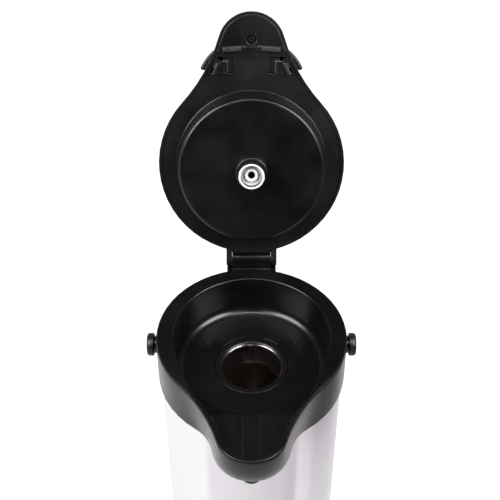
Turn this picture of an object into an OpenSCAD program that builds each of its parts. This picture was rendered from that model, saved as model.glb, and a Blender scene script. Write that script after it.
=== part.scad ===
// Pump airpot with its lid swung open.
// The origin is the centre of the base's underside. +Z is up, the beak points along -Y
// and the lid's hinge is on the +Y side. Lengths are in millimetres.
// The head is drawn in heights below or above the collar's rim, and the lid is drawn shut,
// then swung open about its hinge.

/* [Casing and base] */
// Outside diameter of the steel casing
casing_d = 156; // [150:1:164]
// Thickness of the casing's sheet
casing_wall = 1; // [0.8:0.1:1.5]
// Height of the collar's rim above the table
rim_h = 345; // [300:1:400]
// Height of the base cup
base_h = 24; // [18:1:34]
// How far the base cup stands out from the casing
base_step = 1.8; // [1.2:0.1:3]
// Diameter of the pad under the base
pad_d = 136; // [110:1:142]
// How far the turned-in top edge of the casing reaches inwards
casing_flange = 6; // [4:0.5:8]

/* [Vessel] */
// Width of the jacket between the casing and the vessel
jacket_w = 9; // [8.5:0.1:12]
// Thickness of the vessel's wall
liner_wall = 1.2; // [0.8:0.1:1.6]
// Inside diameter of the vessel's neck
neck_d = 51.6; // [46:0.2:54]
// Height of the vessel's floor above the table
liner_floor_h = 22; // [18:1:30]
// Thickness of the foam sleeve round the vessel
foam_t = 7; // [5:0.5:8]

/* [Collar and bowl] */
// Thickness of the collar's outer skin
collar_wall = 2.1; // [1.8:0.1:3]
// Depth of the skirt below the rim
skirt_h = 43.5; // [40:0.5:50]
// Diameter of the bowl at the rim
bowl_d = 132.6; // [128:0.2:136]
// Depth of the bowl's floor at its edge
bowl_depth = 37; // [34:0.5:40]
// How much the bowl narrows towards its floor, on the radius
bowl_draft = 2.3; // [1:0.1:4]
// Radius of the fillet round the bowl's floor
bowl_fillet = 8; // [5:0.5:12]
// Thickness of the bowl's wall and floor
bowl_wall = 2.4; // [2:0.1:3]
// Radius of the rim's outer edge
rim_edge_r = 1.8; // [1:0.1:2.4]
// Number of ribs between the bowl and the skirt
rib_count = 8; // [6:1:12]

/* [Beak] */
// Reach of the beak's tip from the body's axis
beak_reach = 130.8; // [120:0.2:140]
// Radius of the beak's rounded tip
beak_tip_r = 28.4; // [24:0.2:32]
// Radius of the hollow curve between the beak and the round collar
beak_blend_r = 145; // [110:1:180]
// Depth of the beak's keel below the rim
beak_depth = 52.4; // [48:0.2:60]
// Thickness of the beak's side walls at the rim
beak_wall = 3.6; // [2.8:0.1:4.5]
// Depth of the trough where it leaves the bowl
trough_depth = 25; // [20:0.5:28]
// How far the trough's floor climbs towards the tip
trough_rise = 12; // [6:0.5:15]
// Radius of the groove along the trough's floor
groove_r = 17; // [14:0.5:20]
// Depth of the groove below the trough's floor
groove_depth = 4; // [2:0.5:5]
// Distance of the outlet from the body's axis
outlet_y = 99; // [94:0.5:104]
// Outside diameter of the outlet nozzle
nozzle_d = 17.6; // [14:0.2:19]
// How far the nozzle reaches below the rim
nozzle_drop = 61; // [57:0.5:66]

/* [Lid] */
// Height of the lid's crown above the rim
lid_h = 34; // [30:0.5:42]
// Thickness of the lid's skin
lid_wall = 2.4; // [2:0.1:3]
// Thickness of the lid's underside plate
plate_t = 2.4; // [2:0.1:3]
// How far the underside plate lies above the lid's edge
plate_recess = 1; // [0.6:0.1:2]
// Gap between the shut lid and the rim
lid_gap = 0.4; // [0.3:0.1:0.8]
// Angle by which the lid stands open
lid_open = 113.5; // [0:0.5:115]
// Distance of the hinge behind the body's axis
hinge_y = 87.75; // [86.5:0.25:90]
// Height of the hinge above the rim
hinge_z = 5.35; // [5:0.05:7]
// Diameter of the hinge pin
hinge_pin_d = 4; // [3:0.5:5]
// Outside diameter of the hinge eyes
hinge_eye_d = 12.6; // [11:0.2:13]
// Overall width of the hinge
hinge_w = 44.8; // [36:0.2:50]
// Width of each hinge cheek
cheek_w = 5; // [4:0.2:7]

/* [Pump] */
// Diameter of the plug under the lid, at its root
plug_d = 129.2; // [124:0.2:130]
// How far the plug reaches below the rim with the lid shut
plug_depth = 19.9; // [16:0.1:22]
// Diameter of the pump button
button_d = 75.2; // [60:0.2:80]
// How far the button stands above the lid
button_proud = 2.5; // [1:0.5:5]
// Stroke of the button
button_travel = 20; // [16:0.5:20]
// Outside diameter of the bellows
bellows_d = 66; // [54:1:68]
// Number of folds in the bellows
fold_count = 5; // [4:1:6]
// Outside diameter of the air spigot
spigot_d = 21.7; // [18:0.1:23]
// How far the spigot reaches below the rim with the lid shut
spigot_drop = 39.7; // [36:0.1:42]
// How far the spigot's holder stands out of the plug
holder_proud = 8.6; // [7:0.1:10]
// Diameter of the air hole
air_hole_d = 6.2; // [4:0.1:7]

/* [Latches] */
// Inward travel of a release button
latch_travel = 3.2; // [2.5:0.1:3.5]
// How far a release button stands out of the lid's side
latch_proud = 4.5; // [4:0.1:5]
// Distance of the latch hooks from the body's axis
hook_y = 88; // [87:0.5:90]
// How far a catch nub stands out of the beak's wall
nub_proud = 2.7; // [2.2:0.1:3]

/* [Handle] */
// Distance from the handle's pivots to its cross-bar
handle_reach = 130; // [129.5:0.5:150]
// Gap between the hanging grip and the casing
grip_rest_gap = 0.5; // [0.3:0.1:2]
// Depth of the handle's pivots below the rim
pivot_drop = 12.5; // [10:0.5:16]
// Diameter of the handle's round ends
eye_d = 19.6; // [17:0.2:22]
// Thickness of the handle's strap
strap_t = 6; // [5:0.1:9]
// Width of the handle's strap at the cross-bar
strap_w = 13; // [10:0.5:14]
// Diameter of the pivot pins
pivot_d = 8; // [6:0.5:9]
// Diameter of the grip
grip_d = 17; // [15.5:0.5:17]

/* [Hidden] */
$fn = 72;

// Clearances
seat_gap = 0.3;
slide_gap = 0.35;
shaft_gap = 0.05;
press_gap = 0.03;
eps = 0.01;

// Colours
black_plastic = [0.09, 0.085, 0.095];
steel = [0.8, 0.79, 0.81];
rubber = [0.14, 0.14, 0.15];
silicone = [0.75, 0.75, 0.76];

// Radii and heights that several pieces share
casing_r = casing_d / 2;
collar_bore_r = casing_r + seat_gap;
collar_r = collar_bore_r + collar_wall;
bowl_r = bowl_d / 2;
neck_r = neck_d / 2;
liner_r = casing_r - casing_wall - jacket_w;
cup_floor_h = 5;
casing_foot_h = 6;
pad_top_h = 2.2;
cup_foot_h = 0.9;
flange_depth = skirt_h - 3;
lip_depth = 41.3;
lip_w = 2.6;
neck_hole_r = neck_r + 6.3;
gasket_top_depth = 39.2;
floor_slope = 1.5;
stop_z = -1.6;
screw_x = 38.4;
screw_y = 25;
screw_r = 1.5;
screw_head_r = 3.4;
collar_screw_l = 11;
collar_screw_depth = bowl_depth + 2.4;
nozzle_h = 30;

// Pick-up tube and outlet pipe
tube_r = 4;
tube_bore_r = 3;
tube_y = 17.7;
elbow_r = 5;
elbow_depth = 60;
run_depth = elbow_depth - elbow_r;
pipe_r = 5.2;
pipe_bore_r = tube_r + 0.1;
pipe_bend_y = 42;
pipe_end_depth = 38;
pipe_angle = atan2(run_depth - pipe_end_depth, outlet_y - 3 - pipe_bend_y);

// Teardrop outline, anticlockwise seen from above, with the same number of points at any size
round_steps = 40;
blend_steps = 6;
tip_steps = 16;

function arc(c, r, from, to, n) =
    [for (i = [0 : n - 1]) let(a = from + (to - from) * i / n) c + r * [cos(a), sin(a)]];

function blend_centre(big_r, tip_y, tip_r, blend_r) =
    let(
        big = big_r + blend_r,
        small = tip_r + blend_r,
        along = (big * big - small * small + tip_y * tip_y) / (2 * tip_y)
    )
    [sqrt(big * big - along * along), -along];

function teardrop(inset = 0, reach = beak_reach, tip_r = beak_tip_r, blend_r = beak_blend_r) =
    let(
        tip_y = reach - tip_r,
        c = blend_centre(collar_r - inset, tip_y, tip_r - inset, blend_r + inset),
        a = atan2(c[1], c[0]),
        b = atan2(c[1] + tip_y, c[0])
    )
    concat(
        arc([0, 0], collar_r - inset, a, 180 - a, round_steps),
        arc([-c[0], c[1]], blend_r + inset, -a, -b, blend_steps),
        arc([0, -tip_y], tip_r - inset, 180 - b, 360 + b, tip_steps),
        arc(c, blend_r + inset, 180 + b, 180 + a, blend_steps)
    );

// Half width of the teardrop at a distance y in front of the axis, on the hollow curve
function side_x(y, inset = 0) =
    let(
        c = blend_centre(collar_r, beak_reach - beak_tip_r, beak_tip_r, beak_blend_r),
        reach = beak_blend_r + inset,
        dy = y + c[1]
    )
    c[0] - sqrt(reach * reach - dy * dy);

// Triangles that close an outline of n points which mirrors itself in x = 0, where point number
// back lies
function mirrored_cap(n, back) =
    [for (k = [0 : n / 2 - 1])
        let(
            a = (back - k + n) % n,
            b = (back - k - 1 + n) % n,
            c = (back + k) % n,
            d = (back + k + 1) % n
        )
        each (k == 0 ? [[b, a, d]] : b == d ? [[b, a, c]] : [[b, a, c], [b, c, d]])];

// Triangles that close a strip of n points whose first and last points face each other
function strip_cap(n) =
    [for (i = [0 : n / 2 - 2]) each [[i, i + 1, n - 2 - i], [i, n - 2 - i, n - 1 - i]]];

teardrop_cap = mirrored_cap(round_steps + 2 * blend_steps + tip_steps, round_steps / 2);

// Solid through a stack of outlines with equal numbers of points, from the top down
module loft(outlines, heights, cap) {
    n = len(outlines[0]);
    m = len(outlines);
    points = [for (k = [0 : m - 1]) for (p = outlines[k]) [p[0], p[1], heights[k]]];
    sides = [for (k = [0 : m - 2]) for (i = [0 : n - 1])
        let(a = k * n + i, b = k * n + (i + 1) % n)
        each [[a, b, b + n], [a, b + n, a + n]]];
    top = [for (t = cap) [t[2], t[1], t[0]]];
    bottom = [for (t = cap) [for (i = t) (m - 1) * n + i]];
    polyhedron(points = points, faces = concat(top, sides, bottom));
}

// One unbroken coil of wire about Z
module helix(coil_r, wire_r, height, turns, steps, sides) {
    n = turns * steps;
    rise = height / n;
    lean = atan2(rise * steps, 360 * coil_r * PI / 180);
    points = [for (i = [0 : n]) let(a = 360 * i / steps) for (j = [0 : sides - 1])
        let(
            t = 360 * j / sides,
            out = wire_r * cos(t),
            up = wire_r * sin(t)
        )
        [
            (coil_r + out) * cos(a) + up * sin(lean) * sin(a),
            (coil_r + out) * sin(a) - up * sin(lean) * cos(a),
            rise * i + up * cos(lean)
        ]];
    skin = [for (i = [0 : n - 1]) for (j = [0 : sides - 1])
        let(a = i * sides + j, b = i * sides + (j + 1) % sides)
        each [[a, b, b + sides], [a, b + sides, a + sides]]];
    start = [for (j = [sides - 1 : -1 : 0]) j];
    finish = [for (j = [0 : sides - 1]) n * sides + j];
    polyhedron(points = points, faces = concat([start], skin, [finish]));
}

// Places what is drawn relative to the rim
module at_rim() {
    translate([0, 0, rim_h]) children();
}

// Swings what is drawn with the lid shut to where the lid stands
module lid_pose() {
    translate([0, hinge_y, rim_h + hinge_z])
        rotate([-lid_open, 0, 0])
            translate([0, -hinge_y, -hinge_z])
                children();
}

// Turns what is drawn flat, with X outwards and Y up, into a slice of given width across X
module across(width) {
    rotate([90, 0, 90]) translate([0, 0, -width / 2]) linear_extrude(width) children();
}

module tube(outer_r, inner_r, h) {
    difference() {
        cylinder(r = outer_r, h = h);
        translate([0, 0, -1]) cylinder(r = inner_r, h = h + 2);
    }
}

// Rounded bar section, wide along X and high along Y
module bar_section(w, h, r) {
    offset(r = r, $fn = 24) square([w - 2 * r, h - 2 * r], center = true);
}

// Base

module base_pad() {
    chamfer = 0.5;
    color(rubber)
        rotate_extrude()
            polygon([[0, 0], [pad_d / 2 - chamfer, 0], [pad_d / 2, chamfer],
                [pad_d / 2, pad_top_h], [0, pad_top_h]]);
}

module base_cup() {
    outer_r = casing_r + base_step;
    foot = 3.3;
    ledge_r = casing_r - 3;
    recess_r = pad_d / 2 + 0.2;
    color(black_plastic)
        rotate_extrude()
            polygon([[0, pad_top_h], [recess_r, pad_top_h], [recess_r, cup_foot_h],
                [outer_r - foot, cup_foot_h], [outer_r - foot * 0.3, cup_foot_h + foot * 0.3],
                [outer_r, cup_foot_h + foot], [outer_r, base_h - 0.8],
                [outer_r - 0.8, base_h], [casing_r + press_gap, base_h],
                [casing_r + press_gap, casing_foot_h], [ledge_r, casing_foot_h],
                [ledge_r, cup_floor_h], [0, cup_floor_h]]);
}

module liner_support() {
    inner_r = 38;
    outer_r = 50;
    color(rubber)
        translate([0, 0, cup_floor_h])
            difference() {
                tube(outer_r, inner_r, liner_floor_h - cup_floor_h);
                for (a = [0 : 60 : 300])
                    rotate([0, 0, a])
                        translate([inner_r + 3, -6, 3])
                            cube([outer_r - inner_r - 6, 12, liner_floor_h]);
            }
}

// Casing and vessel

module outer_casing() {
    top = rim_h - flange_depth;
    notch_w = 2 * pipe_r + 3;
    notch_h = 12;
    color(steel)
        difference() {
            rotate_extrude()
                polygon(concat(
                    [[casing_r - casing_wall, casing_foot_h], [casing_r, casing_foot_h]],
                    [[casing_r, top - 1.2], [casing_r - 0.35, top - 0.35], [casing_r - 1.2, top]],
                    [[casing_r - casing_flange, top], [casing_r - casing_flange, top - casing_wall],
                        [casing_r - casing_wall, top - casing_wall]]));
            translate([-notch_w / 2, -casing_r - 1, top - notch_h])
                cube([notch_w, casing_flange + 2, notch_h + 1]);
        }
}

function liner_outline(inset) =
    let(
        r = liner_r - inset,
        floor_h = liner_floor_h + inset,
        corner = 18 - inset,
        shoulder_r = 22,
        shoulder_h = rim_h - 99,
        throat = neck_r + liner_wall - inset,
        throat_h = rim_h - 66
    )
    concat(
        [[0, floor_h]],
        arc([r - corner, floor_h + corner], corner, -90, 0, 8),
        arc([r - shoulder_r, shoulder_h], shoulder_r, 0, 62, 8),
        [[throat + 3, throat_h - 2.6], [throat + 0.9, throat_h], [throat, throat_h + 3]]
    );

module inner_liner() {
    lip_z = rim_h - lip_depth;
    lip_r = neck_r + liner_wall + lip_w;
    color(steel)
        difference() {
            union() {
                rotate_extrude()
                    polygon(concat(liner_outline(0),
                        [[neck_r + liner_wall, lip_z - liner_wall],
                            [lip_r, lip_z - liner_wall], [lip_r, lip_z],
                            [0, lip_z]]));
            }
            rotate_extrude()
                polygon(concat(liner_outline(liner_wall),
                    [[neck_r, lip_z - 1], [neck_r + 0.8, lip_z + eps], [0, lip_z + eps]]));
            translate([0, 0, rim_h - run_depth])
                rotate([90, 0, 0])
                    cylinder(r = tube_r + 0.3, h = neck_r + 10);
        }
}

module insulation_sleeve() {
    inner_r = liner_r + seat_gap;
    height = rim_h - 105 - casing_foot_h;
    color([0.85, 0.8, 0.65])
        translate([0, 0, casing_foot_h + seat_gap])
            tube(inner_r + foam_t, inner_r, height);
}

// Ring that the two bowl screws pull up against the underside of the casing's flange
module shoulder_ring() {
    top = -flange_depth - casing_wall - seat_gap;
    t = 3;
    inner_r = 38;
    outer_r = casing_r - casing_wall - seat_gap;
    boss_depth = 10;
    color(black_plastic)
        at_rim()
            difference() {
                union() {
                    translate([0, 0, top - t]) tube(outer_r, inner_r, t);
                    translate([0, 0, top - boss_depth]) tube(inner_r + 2.5, inner_r, boss_depth);
                    for (s = [-1, 1])
                        translate([s * screw_x, screw_y, top - boss_depth])
                            cylinder(r = 5, h = boss_depth);
                }
                for (s = [-1, 1])
                    translate([s * screw_x, screw_y, top - boss_depth - 1])
                        cylinder(r = screw_r + press_gap, h = boss_depth + 2);
                translate([-pipe_r - 2.5, -outer_r - 1, top - 20])
                    cube([2 * pipe_r + 5, outer_r, 21]);
            }
}

module neck_gasket() {
    inner_r = neck_r + 0.3;
    outer_r = neck_hole_r - 0.2;
    lip_r = neck_r + liner_wall + lip_w + 0.2;
    top = -gasket_top_depth;
    lip = -lip_depth + 0.1;
    low = -lip_depth - liner_wall - 0.1;
    bottom = low - 2.2;
    color(rubber)
        at_rim()
            rotate_extrude()
                polygon([[inner_r, top - 1], [inner_r + 0.8, top - 0.25], [inner_r + 1.8, top],
                    [outer_r - 0.8, top], [outer_r, top - 0.8],
                    [outer_r, bottom], [neck_r + liner_wall + 0.2, bottom],
                    [neck_r + liner_wall + 0.2, low], [lip_r, low], [lip_r, lip], [inner_r, lip]]);
}

// Collar: rim, bowl, beak, skirt, hinge knuckle and handle bosses in one moulding

// Shape of the keel's line: u runs from 0 at the rim to 1 at the beak's foot
function keel(u) = pow(1 - pow(u, 3.49), 0.61);
function beak_section(u) =
    let(low_reach = collar_r + 1.2)
    teardrop(
        0,
        low_reach + (beak_reach - low_reach) * keel(u),
        beak_tip_r + 8.25 * pow(u, 2.9),
        beak_blend_r * (1 - 0.92 * u)
    );

module collar_form() {
    edge = [for (q = [0 : 30 : 90]) q];
    levels = [for (k = [1 : 15]) 1 - pow(1 - k / 15, 1.4)];
    loft(
        concat(
            [for (q = edge) teardrop(rim_edge_r * (1 - sin(q)))],
            [for (u = levels) beak_section(u)]
        ),
        concat(
            [for (q = edge) -rim_edge_r * (1 - cos(q))],
            [for (u = levels) -beak_depth * u]
        ),
        teardrop_cap
    );
}

// Profile of the bowl's hollow, grown outwards by t for the underside of its wall
function bowl_outline(t = 0) =
    let(
        low_r = bowl_r - bowl_draft + t,
        fillet = bowl_fillet + t,
        floor_z = -bowl_depth - t
    )
    concat(
        [[bowl_r + t, -t]],
        [for (p = arc([low_r - fillet, floor_z + fillet], fillet, 0, -90, 10)) p],
        [[low_r - fillet, floor_z]]
    );

// Sloping floor of the trough, seen from the side as [y, z]
function trough_floor(y) =
    -trough_depth + trough_rise * max(0, (-y - bowl_r) / (beak_reach - bowl_r));

// Plan of the trough, with its walls moved inwards by inset
module trough_plan(inset) {
    sweep_x = bowl_r + 0.9;
    side_r = 2 * bowl_r - 1.3 + beak_wall - inset;
    wide = 2 * collar_r;
    intersection() {
        polygon(teardrop(inset));
        union() {
            intersection() {
                translate([-sweep_x, 0]) circle(r = side_r, $fn = 180);
                translate([sweep_x, 0]) circle(r = side_r, $fn = 180);
            }
            translate([-collar_r, -beak_reach - 1]) square([wide, beak_reach - 69]);
        }
        translate([-collar_r, -beak_reach]) square([wide, beak_reach - 2]);
    }
}

module trough_solid(inset, drop, top) {
    side = [[-2, top], [-2, -trough_depth - drop], [-bowl_r, -trough_depth - drop],
        [-beak_reach, trough_floor(-beak_reach) - drop], [-beak_reach, top]];
    intersection() {
        translate([0, 0, -skirt_h]) linear_extrude(skirt_h + top) trough_plan(inset);
        across(2 * collar_r) polygon(side);
    }
}

module trough_groove(skin = 0) {
    start_y = bowl_r - bowl_fillet - 2;
    length = beak_reach - beak_wall - 5 - start_y;
    tilt = atan2(trough_rise, beak_reach - bowl_r);
    lift = groove_r - groove_depth;
    translate([0, -start_y, trough_floor(-bowl_r) + lift])
        rotate([90 - tilt, 0, 0])
            cylinder(r = groove_r + skin, h = length);
}

// Room under the bowl and between the bowl and the skirt, open from below
module collar_room() {
    roof = -bowl_wall;
    low = -beak_depth - 1;
    outline = bowl_outline(bowl_wall);
    difference() {
        rotate_extrude()
            polygon(concat(
                [[0, low], [collar_bore_r, low], [collar_bore_r, roof], [outline[0][0], roof]],
                [for (i = [1 : len(outline) - 1]) outline[i]],
                [[neck_hole_r + 3, -bowl_depth - bowl_wall - floor_slope],
                    [0, -bowl_depth - bowl_wall - floor_slope]]));
        trough_solid(beak_wall - bowl_wall - 1, bowl_wall, 1);
        trough_groove(bowl_wall);
        for (k = [0 : rib_count - 1])
            rotate([0, 0, 360 * (k + 0.5) / rib_count])
                translate([bowl_r, -1, -flange_depth + seat_gap])
                    cube([collar_r - bowl_r, 2, flange_depth]);
        for (s = [-1, 1])
            translate([s * screw_x, screw_y, -flange_depth + 0.2])
                cylinder(r = 6, h = 10);
        for (s = [-1, 1])
            translate([s * (collar_bore_r - 4.5), 0, -pivot_drop])
                rotate([0, s * 90, 0])
                    cylinder(r = pivot_d / 2 + 3.5, h = 10);
    }
}

// Removes everything below the skirt but the chin under the beak
module skirt_trim() {
    chin_w = 38.8;
    chin_low = beak_depth - 0.2;
    chin_h = chin_low - skirt_h;
    chin_r = (chin_w * chin_w + chin_h * chin_h) / (2 * chin_h);
    wide = 2 * collar_r;
    translate([-wide, 0, -beak_depth - 1]) cube([2 * wide, wide, beak_depth + 1 - skirt_h]);
    rotate([90, 0, 0])
        linear_extrude(wide)
            difference() {
                translate([-wide, -beak_depth - 1])
                    square([2 * wide, beak_depth + 1 - skirt_h]);
                translate([0, chin_r - chin_low]) circle(r = chin_r, $fn = 120);
            }
}

module outlet_bores() {
    translate([0, -outlet_y, -nozzle_drop]) cylinder(r = nozzle_d / 2 + press_gap, h = nozzle_h + 0.3);
    translate([0, -pipe_bend_y, -run_depth])
        rotate([90 - pipe_angle, 0, 0])
            cylinder(r = pipe_r + 0.2, h = outlet_y - pipe_bend_y);
}

module hinge_knuckle() {
    inner_w = hinge_w - 2 * cheek_w - 2 * slide_gap;
    base_w = hinge_w - 1.1;
    back_y = collar_r + 0.4;
    across(inner_w)
        difference() {
            union() {
                translate([hinge_y, hinge_z]) circle(d = hinge_eye_d - 0.6);
                polygon([[collar_r - 3, -16], [back_y + 4, -16], [hinge_y + 5.6, -5],
                    [hinge_y + 5.9, hinge_z], [hinge_y, hinge_z], [back_y + 1.2, hinge_z - 2],
                    [back_y, -1], [collar_r - 3, -2.4]]);
            }
            translate([hinge_y, hinge_z]) circle(d = hinge_pin_d + 2 * shaft_gap);
        }
    across(base_w)
        polygon([[collar_r - 3, -16], [back_y + 4, -16], [hinge_y + 5.5, -6],
            [hinge_y + 5.5, stop_z], [collar_r - 3, stop_z]]);
}

// Strip that follows the beak's inner wall on the side s, from y = from to y = to in front of
// the axis, between two distances inwards of the wall
function wall_strip(s, from, to, near, far, n = 4) =
    let(
        outer = [for (i = [0 : n]) let(y = from + (to - from) * i / n)
            [s * (side_x(y, beak_wall) - near), -y]],
        inner = [for (i = [n : -1 : 0]) let(y = from + (to - from) * i / n)
            [s * (side_x(y, beak_wall) - far), -y]],
        ring = concat(outer, inner)
    )
    s < 0 ? ring : [for (i = [len(ring) - 1 : -1 : 0]) ring[i]];

module latch_nubs() {
    for (s = [-1, 1])
        loft(
            [for (proud = [0, nub_proud, nub_proud])
                wall_strip(s, hook_y - 2.8, hook_y + 2.8, -1.2, proud)],
            [-1, -3.4, -4.6],
            strip_cap(10)
        );
}

module collar() {
    boss_face = collar_r + 1.8;
    edge = 1.2;
    color(black_plastic)
        at_rim()
            difference() {
                union() {
                    difference() {
                        collar_form();
                        skirt_trim();
                        collar_room();
                        rotate_extrude()
                            polygon(concat(
                                [[0, 1], [bowl_r + edge, 1]],
                                arc([bowl_r + edge, -edge], edge, 90, 180, 4),
                                [[bowl_r, -edge]],
                                [for (i = [1 : len(bowl_outline()) - 1]) bowl_outline()[i]],
                                [[neck_hole_r, -bowl_depth - floor_slope],
                                    [neck_hole_r, -skirt_h - 1], [0, -skirt_h - 1]]));
                        trough_solid(beak_wall, 0, 1);
                        trough_groove();
                    }
                    hinge_knuckle();
                    latch_nubs();
                    for (s = [-1, 1])
                        translate([s * (collar_r - 2), 0, -pivot_drop])
                            rotate([0, s * 90, 0])
                                cylinder(r = pivot_d / 2 + 3.2, h = boss_face - collar_r + 2);
                }
                outlet_bores();
                for (s = [-1, 1]) {
                    translate([s * screw_x, screw_y, -skirt_h])
                        cylinder(r = screw_r + 0.2, h = skirt_h);
                    translate([s * screw_x, screw_y, -collar_screw_depth])
                        cylinder(r = screw_head_r + 0.25, h = 6);
                    translate([s * (collar_bore_r - 5), 0, -pivot_drop])
                        rotate([0, s * 90, 0])
                            cylinder(r = pivot_d / 2 + press_gap, h = 12);
                }
            }
}

// Countersunk-top screw pointing down from a flat seat
module pan_screw(head_r, head_h, length, shank_r) {
    difference() {
        union() {
            cylinder(r1 = head_r, r2 = head_r * 0.72, h = head_h);
            translate([0, 0, -length]) cylinder(r = shank_r, h = length + eps);
        }
        for (a = [0, 90])
            rotate([0, 0, a])
                translate([-head_r * 0.5, -0.4, head_h - 0.9]) cube([head_r, 0.8, 1]);
    }
}

module collar_screws() {
    color([0.2, 0.2, 0.21])
        at_rim()
            for (s = [-1, 1])
                translate([s * screw_x, screw_y, -collar_screw_depth])
                    pan_screw(screw_head_r, 2, collar_screw_l, screw_r);
}

// Way of the drink

module pickup_tube() {
    foot_h = liner_floor_h + liner_wall + 3;
    rise = rim_h - elbow_depth - foot_h;
    end_y = pipe_bend_y - 2;
    color(steel)
        difference() {
            union() {
                translate([0, -tube_y, foot_h]) tube(tube_r, tube_bore_r, rise);
                translate([0, -tube_y - elbow_r, rim_h - elbow_depth])
                    rotate([90, 0, 90])
                        rotate_extrude(angle = 90)
                            translate([elbow_r, 0])
                                difference() {
                                    circle(r = tube_r);
                                    circle(r = tube_bore_r);
                                }
                translate([0, -tube_y - elbow_r, rim_h - run_depth])
                    rotate([90, 0, 0])
                        tube(tube_r, tube_bore_r, end_y - tube_y - elbow_r);
            }
            translate([-tube_r - 1, -tube_y, foot_h - 1])
                rotate([0, 90, 0])
                    cylinder(r = 2.4, h = 2 * tube_r + 2, $fn = 24);
        }
}

module tube_grommet() {
    start_y = neck_r + liner_wall + 0.1;
    color(silicone)
        translate([0, -start_y, rim_h - run_depth])
            rotate([90, 0, 0])
                rotate_extrude()
                    polygon([[tube_r + 0.05, 0], [6.4, 0], [6.4, 2.2], [5.2, 3.2],
                        [tube_r + 0.05, 3.2]]);
}

// Rod of radius r along the way of the outlet pipe: level at first, then climbing
module pipe_rod(r, start_y, run) {
    lap = pipe_r * tan(pipe_angle / 2) + 0.05;
    translate([0, -start_y, -run_depth])
        rotate([90, 0, 0])
            cylinder(r = r, h = pipe_bend_y + lap - start_y);
    translate([0, -pipe_bend_y, -run_depth])
        rotate([90 - pipe_angle, 0, 0])
            translate([0, 0, -lap])
                cylinder(r = r, h = run + lap);
}

module outlet_pipe() {
    start_y = neck_r + liner_wall + 3.9;
    run = (outlet_y - nozzle_d / 2 + 2.4 - pipe_bend_y) / cos(pipe_angle);
    color(silicone)
        at_rim()
            difference() {
                pipe_rod(pipe_r, start_y, run);
                pipe_rod(pipe_bore_r, start_y - 1, run + 1);
            }
}

module outlet_nozzle() {
    bore_r = 4.5;
    color(black_plastic)
        at_rim()
            difference() {
                translate([0, -outlet_y, -nozzle_drop])
                    rotate_extrude()
                        polygon([[bore_r + 1.4, 0], [nozzle_d / 2 - 0.8, 0],
                            [nozzle_d / 2, 0.8], [nozzle_d / 2, nozzle_h],
                            [bore_r, nozzle_h], [bore_r, 1.4]]);
                translate([0, -pipe_bend_y, -run_depth])
                    rotate([90 - pipe_angle, 0, 0])
                        cylinder(r = pipe_r + press_gap,
                            h = (outlet_y - pipe_bend_y) / cos(pipe_angle));
            }
}

// Hinge pin and handle

module hinge_pin() {
    color(steel)
        translate([0, hinge_y, rim_h + hinge_z])
            rotate([0, 90, 0])
                cylinder(d = hinge_pin_d, h = hinge_w, center = true);
}

strap_x = collar_r + 2.1;

module handle_pivots() {
    inner_x = collar_bore_r - 4.5 - seat_gap;
    length = strap_x + strap_t - 2.4 - inner_x;
    color(steel)
        translate([0, 0, rim_h - pivot_drop])
            for (s = [-1, 1])
                translate([s * inner_x, 0, 0])
                    rotate([0, s * 90, 0]) {
                        translate([0, 0, -2]) cylinder(r = pivot_d / 2 + 2, h = 2);
                        translate([0, 0, -eps]) cylinder(d = pivot_d, h = length);
                    }
}

// The grip hangs against the casing
handle_drop = acos((casing_r + grip_d / 2 + grip_rest_gap) / handle_reach);

module handle_pose() {
    translate([0, 0, rim_h - pivot_drop]) rotate([-handle_drop, 0, 0]) children();
}

module handle_bail() {
    bend_r = 25;
    mid_x = strap_x + strap_t / 2;
    eye_edge = 2.6;
    eye_w = eye_d - 4;
    color(black_plastic)
        handle_pose()
            difference() {
                union() {
                    for (s = [-1, 1]) {
                        translate([s * strap_x, 0, 0])
                            rotate([0, s * 90, 0])
                                rotate_extrude()
                                    polygon(concat(
                                        [[0, 0], [eye_d / 2 - 0.6, 0], [eye_d / 2, 0.6]],
                                        arc([eye_d / 2 - eye_edge, strap_t - eye_edge],
                                            eye_edge, 0, 90, 5),
                                        [[eye_d / 2 - eye_edge - 1, strap_t - eps],
                                            [0, strap_t + 0.5]]));
                        translate([s * mid_x, 0, 0])
                            across(strap_t)
                                polygon([[0, -eye_w / 2], [handle_reach - bend_r, -strap_w / 2],
                                    [handle_reach - bend_r, strap_w / 2], [0, eye_w / 2]]);
                        translate([s * (mid_x - bend_r), handle_reach - bend_r, 0])
                            rotate([0, 0, s > 0 ? 0 : 90])
                                rotate_extrude(angle = 90)
                                    translate([bend_r, 0])
                                        bar_section(strap_t, strap_w, 2);
                    }
                    translate([0, handle_reach, 0])
                        rotate([90, 0, 90])
                            linear_extrude(2 * (mid_x - bend_r), center = true)
                                bar_section(strap_t, strap_w, 2);
                }
                for (s = [-1, 1])
                    translate([s * (strap_x - 1), 0, 0])
                        rotate([0, s * 90, 0])
                            cylinder(r = pivot_d / 2 + shaft_gap, h = strap_t - 1);
            }
}

module handle_grip() {
    length = 96;
    waves = 4;
    steps = 24;
    color(rubber)
        handle_pose()
            translate([0, handle_reach, 0])
                rotate([0, 90, 0])
                    difference() {
                        rotate_extrude()
                            polygon(concat(
                                [[0, -length / 2], [grip_d / 2 - 1.4, -length / 2]],
                                [for (i = [0 : steps]) [
                                    grip_d / 2 - 0.5 + 0.5 * cos(360 * waves * (i / steps - 0.5)),
                                    (length - 3) * (i / steps - 0.5)]],
                                [[grip_d / 2 - 1.4, length / 2], [0, length / 2]]));
                        linear_extrude(length + 2, center = true)
                            rotate([0, 0, 90])
                                bar_section(strap_t + 0.1, strap_w + 0.1, 2);
                    }
}

// Lid shells, drawn shut

lid_side_h = 12;
lid_round = 12;
nose_round = 40;
lid_draft = 0.11;
outer_levels = [for (q = [90 : -10 : 0]) sin(q)];
inner_levels = [for (q = [80 : -16 : 0]) sin(q)];

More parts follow.
